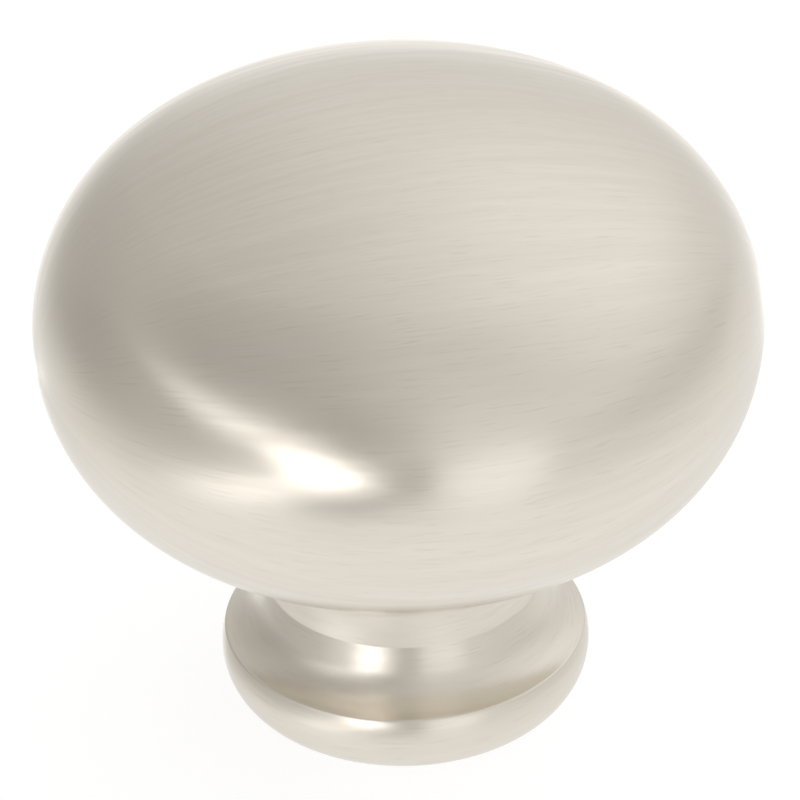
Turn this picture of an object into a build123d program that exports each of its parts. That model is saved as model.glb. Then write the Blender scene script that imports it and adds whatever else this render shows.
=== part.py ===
"""Mushroom cabinet knob: one solid zinc casting, turned round its own axis and drilled from below.

Millimetres, +Z up. The origin is the centre of the foot's mounting face, and +Z runs up the axis
to the crown.
"""

import os
from math import acos, atan2, cos, degrees, radians, sin, sqrt, tan

from build123d import *

# Head: a flat crown that turns over a round shoulder to the underside
head_diameter = 31.75
shoulder_radius = 8.5  # round of the edge, above and below the widest line
crown_radius = 25.4  # flatter round of the top, tangent to the shoulder

# Neck: a short stem, hollowed out to the head above and stepping into a tapered skirt below
neck_diameter = 12.2
neck_length = 0.8  # straight stretch between the head's hollow and the skirt
neck_fillet_radius = 4.0
skirt_length = 1.05  # down its slope, from the corner with the neck to the cove
skirt_angle = 18.0  # degrees that the skirt leans out from the axis
cove_radius = 2.4

# Foot: a round rim that stands on a flat mounting face
foot_diameter = 16.3
rim_radius = 2.7
rim_turn = 20.0  # degrees that the rim's round climbs past its widest line, up to the cove
rim_edge_radius = 0.15  # polished edge between the rim and the cove

# Tapped hole for a No. 8-32 machine screw, at the size of its tapping drill
tap_drill_diameter = 3.45
tap_depth = 12.7  # from the mounting face to the end of the straight wall
drill_point_angle = 118.0
lead_in_width = 0.5  # countersink round the mouth
lead_in_angle = 90.0

# Half section, as (distance from the axis, height): first the rim and the cove, which starts at
# the rim's edge and runs up into the skirt
rim_x = foot_diameter / 2 - rim_radius
rim_edge = (
    rim_x + rim_radius * cos(radians(rim_turn)),
    rim_radius + rim_radius * sin(radians(rim_turn)),
)
neck_x = neck_diameter / 2
skirt_x = neck_x + skirt_length * sin(radians(skirt_angle))
cove_x = skirt_x + cove_radius * cos(radians(skirt_angle))
cove_angle = degrees(acos((cove_x - rim_edge[0]) / cove_radius))
cove_height = rim_edge[1] + cove_radius * sin(radians(cove_angle))
skirt_foot = (skirt_x, cove_height - cove_radius * sin(radians(skirt_angle)))
skirt_top = (neck_x, skirt_foot[1] + skirt_length * cos(radians(skirt_angle)))

# Then the fillet from the neck to the underside, which carries the shoulder's round
shoulder_x = head_diameter / 2 - shoulder_radius
neck_fillet_x = neck_x + neck_fillet_radius
neck_fillet_height = skirt_top[1] + neck_length
underside_run = shoulder_x - neck_fillet_x
underside_rise = sqrt((shoulder_radius + neck_fillet_radius) ** 2 - underside_run**2)
underside_angle = degrees(atan2(underside_rise, underside_run))
widest_height = neck_fillet_height + underside_rise

# Last the crown, whose centre lies on the axis
crown_rise = sqrt((crown_radius - shoulder_radius) ** 2 - shoulder_x**2)
crown_angle = degrees(atan2(crown_rise, shoulder_x))
crown_centre = (0, widest_height - crown_rise)
crown_top = (0, crown_centre[1] + crown_radius)

with BuildPart() as knob:
    with BuildSketch(Plane.XZ) as half_section:
        with BuildLine():
            Line((0, 0), (rim_x, 0))
            CenterArc((rim_x, rim_radius), rim_radius, -90, 90 + rim_turn)
            CenterArc(
                (cove_x, cove_height),
                cove_radius,
                180 + cove_angle,
                skirt_angle - cove_angle,
            )
            Line(skirt_foot, skirt_top)
            Line(skirt_top, (neck_x, neck_fillet_height))
            CenterArc(
                (neck_fillet_x, neck_fillet_height),
                neck_fillet_radius,
                180,
                underside_angle - 180,
            )
            CenterArc(
                (shoulder_x, widest_height),
                shoulder_radius,
                underside_angle - 180,
                180 - underside_angle + crown_angle,
            )
            CenterArc(crown_centre, crown_radius, crown_angle, 90 - crown_angle)
            Line(crown_top, (0, 0))
        make_face()
        fillet(half_section.vertices().sort_by_distance(rim_edge)[0], rim_edge_radius)
    revolve(axis=Axis.Z)

    # The hole is drilled upwards from the mounting face, and ends in the drill's point
    tap_drill_radius = tap_drill_diameter / 2
    with Locations(Location((0, 0, 0), (180, 0, 0))):
        CounterSinkHole(
            tap_drill_radius, tap_drill_radius + lead_in_width, tap_depth, lead_in_angle
        )
    with Locations((0, 0, tap_depth)):
        Cone(
            tap_drill_radius,
            0,
            tap_drill_radius / tan(radians(drill_point_angle / 2)),
            align=(Align.CENTER, Align.CENTER, Align.MIN),
            mode=Mode.SUBTRACT,
        )

knob.part.label = "knob"

os.makedirs("parts", exist_ok=True)
export_step(knob.part, "parts/knob.step")
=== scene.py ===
from math import atan2, cos, hypot, pi, radians, sin, sqrt, tan

import bpy
from mathutils import Euler, Matrix


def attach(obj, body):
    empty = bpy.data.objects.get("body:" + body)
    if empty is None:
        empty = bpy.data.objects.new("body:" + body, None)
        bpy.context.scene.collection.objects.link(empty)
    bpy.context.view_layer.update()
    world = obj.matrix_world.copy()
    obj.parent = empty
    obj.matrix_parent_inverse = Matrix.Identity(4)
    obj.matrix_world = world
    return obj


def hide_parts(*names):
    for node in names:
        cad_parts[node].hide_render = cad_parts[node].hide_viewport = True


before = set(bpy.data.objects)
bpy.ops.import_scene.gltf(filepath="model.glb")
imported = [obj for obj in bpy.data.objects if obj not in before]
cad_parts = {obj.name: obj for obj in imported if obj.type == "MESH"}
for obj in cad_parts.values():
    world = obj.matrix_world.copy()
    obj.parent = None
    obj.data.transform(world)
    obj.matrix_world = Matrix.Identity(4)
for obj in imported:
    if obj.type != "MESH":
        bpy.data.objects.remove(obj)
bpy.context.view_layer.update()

# The knob is one zinc casting, turned all over: a domed head on a short hollowed neck, which steps
# into a tapered skirt and a round foot. Its half section is drawn as a turner would cut it, arc by
# arc from the bottom of the screw hole to the crown, and is then spun round the axis.
mm = 0.001
head_radius = 31.75 * mm / 2
shoulder_radius = 8.5 * mm
crown_radius = 25.4 * mm
neck_radius = 12.2 * mm / 2
neck_length = 0.8 * mm
neck_fillet_radius = 4.0 * mm
skirt_length = 1.05 * mm
skirt_angle = radians(18)
cove_radius = 2.4 * mm
foot_radius = 16.3 * mm / 2
rim_radius = 2.7 * mm
rim_turn = radians(20)
rim_edge_radius = 0.15 * mm
hole_radius = 3.45 * mm / 2
hole_depth = 12.7 * mm
drill_point_angle = radians(118)
hole_point = hole_radius / tan(drill_point_angle / 2)
lead_in = 0.5 * mm
steps_round = 144
corner_angle = radians(12)

# Centres of the arcs, each tangent to its neighbours but for the corner between skirt and neck
rim_x = foot_radius - rim_radius
cove_x = neck_radius + skirt_length * sin(skirt_angle) + cove_radius * cos(skirt_angle)
cove_z = rim_radius * (1 + sin(rim_turn))
cove_z += sqrt(cove_radius**2 - (cove_x - rim_x - rim_radius * cos(rim_turn)) ** 2)
skirt_top = cove_z - cove_radius * sin(skirt_angle) + skirt_length * cos(skirt_angle)
fillet_x = neck_radius + neck_fillet_radius
fillet_z = skirt_top + neck_length
shoulder_x = head_radius - shoulder_radius
widest_z = fillet_z
widest_z += sqrt((shoulder_radius + neck_fillet_radius) ** 2 - (fillet_x - shoulder_x) ** 2)
crown_z = widest_z - sqrt((crown_radius - shoulder_radius) ** 2 - shoulder_x**2)
underside = atan2(widest_z - fillet_z, shoulder_x - fillet_x)
crown_start = atan2(widest_z - crown_z, shoulder_x)

# The polished edge between rim and cove touches both: its centre lies inside the rim's round and
# outside the cove's
rim_reach = rim_radius - rim_edge_radius
cove_reach = cove_radius + rim_edge_radius
apart = hypot(cove_x - rim_x, cove_z - rim_radius)
along = (rim_reach**2 - cove_reach**2 + apart**2) / (2 * apart)
aside = sqrt(rim_reach**2 - along**2)
edge_x = rim_x + (along * (cove_x - rim_x) + aside * (cove_z - rim_radius)) / apart
edge_z = rim_radius + (along * (cove_z - rim_radius) - aside * (cove_x - rim_x)) / apart
rim_end = atan2(edge_z - rim_radius, edge_x - rim_x)
cove_start = atan2(edge_z - cove_z, edge_x - cove_x)


def cut_line(x, z, steps):
    """Carries the section's selected end straight on, by x outwards and z upwards."""
    for _ in range(steps):
        step = (x / steps, 0, z / steps)
        bpy.ops.mesh.extrude_vertices_move(TRANSFORM_OT_translate={"value": step})


def cut_arc(x, z, angle, steps):
    """Carries the section's selected end round a centre, anticlockwise for a positive angle."""
    bpy.ops.mesh.spin(steps=steps, angle=angle, center=(x, 0, z), axis=(0, 1, 0))


bpy.ops.object.select_all(action="DESELECT")
bpy.ops.mesh.primitive_plane_add(size=mm)
knob = bpy.context.object
knob.name = "knob_casting"
bpy.ops.object.mode_set(mode="EDIT")
bpy.ops.mesh.merge(type="CENTER")
bpy.ops.transform.translate(value=(0, 0, hole_depth + hole_point))
cut_line(hole_radius, -hole_point, steps=4)
cut_line(0, lead_in - hole_depth, steps=220)
cut_line(lead_in, -lead_in, steps=2)
cut_line(rim_x - hole_radius - lead_in, 0, steps=4)
cut_arc(rim_x, rim_radius, rim_end + pi / 2, steps=28)
cut_arc(edge_x, edge_z, cove_start + pi - rim_end, steps=10)
cut_arc(cove_x, cove_z, skirt_angle - pi - cove_start, steps=18)
cut_line(-skirt_length * sin(skirt_angle), skirt_length * cos(skirt_angle), steps=4)
cut_line(0, neck_length, steps=2)
cut_arc(fillet_x, fillet_z, underside - pi, steps=20)
cut_arc(shoulder_x, widest_z, crown_start + pi - underside, steps=64)
cut_arc(0, crown_z, pi / 2 - crown_start, steps=28)
bpy.ops.mesh.select_all(action="SELECT")
bpy.ops.mesh.spin(steps=steps_round, angle=2 * pi, center=(0, 0, 0), axis=(0, 0, 1))
bpy.ops.mesh.select_all(action="SELECT")
bpy.ops.mesh.remove_doubles(threshold=0.001 * mm)
bpy.ops.mesh.normals_make_consistent(inside=False)
bpy.ops.object.mode_set(mode="OBJECT")
bpy.ops.object.shade_smooth_by_angle(angle=corner_angle)

# The screw hole is tapped for a No. 8-32 machine screw after plating. The tap cuts outwards from
# the drilled wall in one helix, and runs out before the drill's end. Crest and root are each a
# quarter of the pitch wide, and the flanks between them are eased at both ends.
thread_pitch = 25.4 * mm / 32
thread_radius = 4.166 * mm / 2
thread_end = hole_depth - 2 * thread_pitch
run_in_length = 0.2 * thread_pitch
run_out_length = thread_pitch
for vertex in knob.data.vertices:
    point = vertex.co
    on_wall = abs(hypot(point.x, point.y) - hole_radius) < 0.01 * mm
    if on_wall and lead_in < point.z < thread_end:
        turn = (point.z / thread_pitch - atan2(point.y, point.x) / (2 * pi)) % 1
        depth = min(max(1.5 - abs(turn - 0.5) * 4, 0), 1)
        depth *= depth * (3 - 2 * depth)
        run_in = (point.z - lead_in) / run_in_length
        run_out = (thread_end - point.z) / run_out_length
        widen = 1 + (thread_radius / hole_radius - 1) * depth * min(run_in, run_out, 1)
        point.x *= widen
        point.y *= widen


# Satin nickel: bright nickel plate brushed with fine abrasive. The head was drawn across a soft
# belt, so its strokes run side by side like meridians, and the neck and foot were brushed as they
# turned. Highlights smear across the strokes, and single scratches show as faint darker hairlines.
def linear(colour):
    """An sRGB hex colour as linear red, green, blue and full alpha."""
    parts = [int(colour[i : i + 2], 16) / 255 for i in (1, 3, 5)]
    return [p / 12.92 if p <= 0.04045 else ((p + 0.055) / 1.055) ** 2.4 for p in parts] + [1]


def add(tree, kind, inputs=(), **settings):
    """Adds a node with its settings, and sets or links its inputs by place or name."""
    node = tree.nodes.new(kind)
    for name, value in settings.items():
        setattr(node, name, value)
    for socket, value in dict(inputs).items():
        if isinstance(value, bpy.types.NodeSocket):
            tree.links.new(value, node.inputs[socket])
        else:
            node.inputs[socket].default_value = value
    return node


plate_dark = linear("#E1DACE")
plate_light = linear("#E3DDD2")
scratch_colour = linear("#DDD6CA")
bare_zinc = linear("#A9A6A0")
head_roughness = 0.21
foot_roughness = 0.25
roughness_wander = 0.02
stroke_depth = 0.01 * mm
belt_turn = radians(12)

# Real strokes are a few hundredths of a millimetre wide, too fine to show in the render. They are
# drawn coarser: as bands of like strokes, and as single hairlines a seventh as wide and as long.
band_length = 11 * mm
band_width = 0.8 * mm
hairlines_in_band = 7

nickel = bpy.data.materials.new("satin_nickel_plate_brushed")
nickel.use_nodes = True
tree = nickel.node_tree
tree.nodes.clear()
place = add(tree, "ShaderNodeTexCoord").outputs["Object"]

# Strokes on the head: lengthwise along the belt's run, crosswise round it
on_belt = add(
    tree,
    "ShaderNodeMapping",
    {"Vector": place, "Location": (0, 0, widest_z), "Rotation": (0, 0, belt_turn)},
    vector_type="TEXTURE",
).outputs[0]
belt = add(tree, "ShaderNodeSeparateXYZ", {0: on_belt}).outputs
round_belt = add(
    tree, "ShaderNodeMath", {0: belt["Y"], 1: belt["Z"]}, operation="ARCTAN2"
).outputs[0]
head_along = add(
    tree, "ShaderNodeMath", {0: belt["X"], 1: 1 / band_length}, operation="MULTIPLY"
).outputs[0]
head_across = add(
    tree, "ShaderNodeMath", {0: round_belt, 1: head_radius / band_width}, operation="MULTIPLY"
).outputs[0]
head_strokes = add(tree, "ShaderNodeCombineXYZ", {0: head_along, 1: head_across}).outputs[0]

# Strokes on the neck and foot: rings round the axis
axis = add(tree, "ShaderNodeSeparateXYZ", {0: place}).outputs
round_axis = add(
    tree, "ShaderNodeMath", {0: axis["Y"], 1: axis["X"]}, operation="ARCTAN2"
).outputs[0]
flat_place = add(tree, "ShaderNodeCombineXYZ", {0: axis["X"], 1: axis["Y"]}).outputs[0]
from_axis = add(tree, "ShaderNodeVectorMath", {0: flat_place}, operation="LENGTH").outputs["Value"]
foot_along = add(
    tree, "ShaderNodeMath", {0: round_axis, 1: neck_radius / band_length}, operation="MULTIPLY"
).outputs[0]
down_section = add(
    tree, "ShaderNodeMath", {0: from_axis, 1: axis["Z"]}, operation="SUBTRACT"
).outputs[0]
foot_across = add(
    tree, "ShaderNodeMath", {0: down_section, 1: 1 / band_width}, operation="MULTIPLY"
).outputs[0]
foot_strokes = add(tree, "ShaderNodeCombineXYZ", {0: foot_along, 1: foot_across}).outputs[0]

# The two ways of brushing fade into each other under the head, in tone and in direction
is_head = add(
    tree,
    "ShaderNodeMapRange",
    {"Value": axis["Z"], "From Min": fillet_z + 2 * mm, "From Max": fillet_z + 4 * mm},
).outputs[0]
patterns = []
for scale, detail, roughness in ((1, 4, 0.55), (hairlines_in_band, 1, 0.5)):
    on_foot, on_head = [
        add(
            tree,
            "ShaderNodeTexNoise",
            {"Vector": strokes, "Scale": scale, "Detail": detail, "Roughness": roughness},
            noise_dimensions="2D",
        ).outputs[0]
        for strokes in (foot_strokes, head_strokes)
    ]
    patterns.append(
        add(tree, "ShaderNodeMix", {"Factor": is_head, 2: on_foot, 3: on_head}).outputs[0]
    )
bands, hairlines = patterns
ring_way = add(
    tree, "ShaderNodeVectorMath", {0: (0, 0, 1), 1: place}, operation="CROSS_PRODUCT"
).outputs[0]
ring_unit = add(tree, "ShaderNodeVectorMath", {0: ring_way}, operation="NORMALIZE").outputs[0]
way = add(
    tree,
    "ShaderNodeMix",
    {"Factor": is_head, 4: ring_unit, 5: (cos(belt_turn), sin(belt_turn), 0)},
    data_type="VECTOR",
).outputs[1]
stroke_way = add(
    tree, "ShaderNodeVectorTransform", {0: way}, convert_from="OBJECT", convert_to="WORLD"
).outputs[0]

# Light bands are a little smoother. At the belt's two ends the strokes run too close to tell apart,
# so the tone evens out there.
streak = add(
    tree, "ShaderNodeMapRange", {"Value": bands, "From Min": 0.3, "From Max": 0.7}
).outputs[0]
wander = add(
    tree,
    "ShaderNodeMapRange",
    {"Value": streak, "To Min": roughness_wander, "To Max": -roughness_wander},
).outputs[0]
satin = add(
    tree, "ShaderNodeMix", {"Factor": is_head, 2: foot_roughness, 3: head_roughness}
).outputs[0]
rough = add(tree, "ShaderNodeMath", {0: satin, 1: wander}).outputs[0]
from_middle = add(tree, "ShaderNodeMath", {0: belt["X"]}, operation="ABSOLUTE").outputs[0]
belt_end = add(
    tree,
    "ShaderNodeMapRange",
    {"Value": from_middle, "From Min": 0.6 * head_radius, "From Max": 0.9 * head_radius},
).outputs[0]
tone = add(tree, "ShaderNodeMix", {"Factor": belt_end, 2: streak, 3: 0.5}).outputs[0]
brushed = add(
    tree, "ShaderNodeMix", {"Factor": tone, 6: plate_dark, 7: plate_light}, data_type="RGBA"
).outputs[2]
scratch = add(
    tree, "ShaderNodeMapRange", {"Value": hairlines, "From Min": 0.62, "From Max": 0.78}
).outputs[0]
scratched = add(
    tree, "ShaderNodeMix", {"Factor": scratch, 6: brushed, 7: scratch_colour}, data_type="RGBA"
).outputs[2]

# The tap cut the plate away, so the thread and the drill's end are bare zinc
outside_hole = add(
    tree,
    "ShaderNodeMapRange",
    {"Value": from_axis, "From Min": thread_radius, "From Max": hole_radius + lead_in},
).outputs[0]
above_hole = add(
    tree,
    "ShaderNodeMath",
    {0: axis["Z"], 1: hole_depth + 2 * hole_point},
    operation="GREATER_THAN",
).outputs[0]
plated = add(
    tree, "ShaderNodeMath", {0: outside_hole, 1: above_hole}, operation="MAXIMUM"
).outputs[0]
colour = add(
    tree, "ShaderNodeMix", {"Factor": plated, 6: bare_zinc, 7: scratched}, data_type="RGBA"
).outputs[2]
relief = add(
    tree, "ShaderNodeBump", {"Strength": 0.2, "Distance": stroke_depth, "Height": bands}
).outputs[0]
surface = add(
    tree,
    "ShaderNodeBsdfPrincipled",
    {
        "Base Color": colour,
        "Metallic": 1,
        "Roughness": rough,
        "Normal": relief,
        "Tangent": stroke_way,
        "Anisotropic": 0.9,
        "Anisotropic Rotation": 0.25,
    },
).outputs[0]
add(tree, "ShaderNodeOutputMaterial", {"Surface": surface})
knob.data.materials.clear()
knob.data.materials.append(nickel)

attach(knob, "root")
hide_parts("knob")

# The floor is a sheet of white paper that only the camera sees, with the knob's soft shadow on it.
# Reflections look past it into the tent, whose lower half is the same white.
floor_radius = 300 * mm
paper_grey = linear("#A5A6A8")
paper_glow = 0.77
bpy.ops.object.select_all(action="DESELECT")
bpy.ops.mesh.primitive_circle_add(vertices=64, radius=floor_radius, fill_type="NGON")
floor = bpy.context.object
floor.name = "floor"
paper = bpy.data.materials.new("white_paper")
paper.use_nodes = True
tree = paper.node_tree
tree.nodes.clear()
sheet = add(tree, "ShaderNodeBsdfDiffuse", {"Color": paper_grey}).outputs[0]
lift = add(tree, "ShaderNodeEmission", {"Strength": paper_glow}).outputs[0]
lit = add(tree, "ShaderNodeAddShader", {0: sheet, 1: lift}).outputs[0]
add(tree, "ShaderNodeOutputMaterial", {"Surface": lit})
floor.data.materials.append(paper)
floor.visible_glossy = False
floor.visible_shadow = False

# Studio light: a pale tent round the knob, white below, grey at eye level and a little darker to the
# left. Soft lamps and grey cards on its wall give the metal its highlights and its dark bands.
wall_left = 0.55
wall_right = 0.81
roof_grey = 0.69
white = 1.0
world = bpy.data.worlds.new("tent")
bpy.context.scene.world = world
world.use_nodes = True
tree = world.node_tree
tree.nodes.clear()
outwards = add(tree, "ShaderNodeTexCoord").outputs["Generated"]
tent = add(tree, "ShaderNodeSeparateXYZ", {0: outwards}).outputs
wall = add(
    tree,
    "ShaderNodeMapRange",
    {"Value": tent["X"], "From Min": -0.6, "From Max": -0.05, "To Min": wall_left, "To Max": wall_right},
    interpolation_type="SMOOTHSTEP",
).outputs[0]
is_roof = add(
    tree,
    "ShaderNodeMapRange",
    {"Value": tent["Z"], "From Min": 0.3, "From Max": 1.04},
    interpolation_type="SMOOTHSTEP",
).outputs[0]
is_below = add(
    tree,
    "ShaderNodeMapRange",
    {"Value": tent["Z"], "From Min": sin(radians(-5)), "From Max": sin(radians(-47))},
    interpolation_type="SMOOTHSTEP",
).outputs[0]
upper = add(tree, "ShaderNodeMix", {"Factor": is_roof, 2: wall, 3: roof_grey}).outputs[0]
light = add(tree, "ShaderNodeMix", {"Factor": is_below, 2: upper, 3: white}).outputs[0]

# Each lamp or card is an oval: degrees to the right of the camera, degrees up, degrees turned, half
# its width and half its height in degrees, the share of it that fades out towards its rim, and the
# light that it adds. A card takes light away. These values and the tent's own were fitted to the
# photograph's brightness by a least-squares program, then rounded, and some were adjusted further.
lamps_and_cards = {
    "left lamp": (-24, -3, -12, 25, 3.4, 1, 9.5),
    "left fill, high": (-47, 11, -11, 54, 9.5, 1, 1.2),
    "left fill, low": (-42, -18, 25, 54, 7.5, 1, 1.7),
    "right lamp": (28, -8, 9, 25, 21, 0.65, 0.32),
    "right fill, high": (127, 52, 3, 89, 56, 0.85, 0.28),
    "back fill, low": (186, -21, -4, 38, 23, 0.8, 0.6),
    "card under the left lamp": (-17, -22, 8, 22, 5.5, 0.6, -0.7),
    "card beside the left lamp": (4, -8, -15, 10, 17, 0.8, -0.25),
    "front card": (-15, 13, -20, 32, 60, 1, -0.31),
    "left card": (-111, 2, -16, 39, 35, 1, -0.1),
    "left card, high": (-67, 51, 6, 50, 44, 0.65, -0.14),
    "right card": (93, -2, -6, 57, 13, 0.6, -0.12),
}
for right, up, turn, half_width, half_height, fade, brightness in lamps_and_cards.values():
    azimuth = radians(right)
    elevation = radians(up)
    facing = Euler((pi / 2 - elevation, 0, azimuth)).to_matrix()
    facing = facing @ Matrix.Rotation(radians(turn), 3, "Z")
    on_oval = add(
        tree,
        "ShaderNodeMapping",
        {
            "Vector": outwards,
            "Location": (
                sin(azimuth) * cos(elevation),
                -cos(azimuth) * cos(elevation),
                sin(elevation),
            ),
            "Rotation": facing.to_euler(),
            "Scale": (sin(radians(half_width)), sin(radians(half_height)), 1),
        },
        vector_type="TEXTURE",
    ).outputs[0]
    oval = add(tree, "ShaderNodeTexGradient", {0: on_oval}, gradient_type="SPHERICAL").outputs[1]
    glow = add(
        tree,
        "ShaderNodeMapRange",
        {"Value": oval, "From Max": fade, "To Max": brightness},
        interpolation_type="SMOOTHSTEP",
    ).outputs[0]
    light = add(tree, "ShaderNodeMath", {0: light, 1: glow}).outputs[0]

# The camera sees plain white behind the knob, and dimmer light is a little warmer
warm_tint = (1.03, 1, 0.94, 1)
white_tint = (1, 1, 1, 1)
seen = add(tree, "ShaderNodeLightPath").outputs["Is Camera Ray"]
level = add(tree, "ShaderNodeMix", {"Factor": seen, 2: light, 3: white}).outputs[0]
tint = add(
    tree, "ShaderNodeMix", {"Factor": level, 6: warm_tint, 7: white_tint}, data_type="RGBA"
).outputs[2]
tent_light = add(tree, "ShaderNodeBackground", {"Color": tint, "Strength": level}).outputs[0]
add(tree, "ShaderNodeOutputWorld", {"Surface": tent_light})

# The camera looks down on the knob from in front, with a long lens, turned a little as the
# photograph is
camera_height = radians(32.93)
camera_roll = radians(-1.32)
camera_distance = 351.45 * mm
aim_z = 15.1 * mm
bpy.ops.object.camera_add(
    location=(
        0,
        -camera_distance * cos(camera_height),
        aim_z + camera_distance * sin(camera_height),
    )
)
camera = bpy.context.object
camera.name = "photo_view"
camera.rotation_mode = "ZYX"
camera.rotation_euler = (pi / 2 - camera_height, 0, camera_roll)
camera.data.lens = 362.5
camera.data.sensor_width = 36
bpy.context.scene.camera = camera
bpy.context.scene.view_settings.view_transform = "Standard"
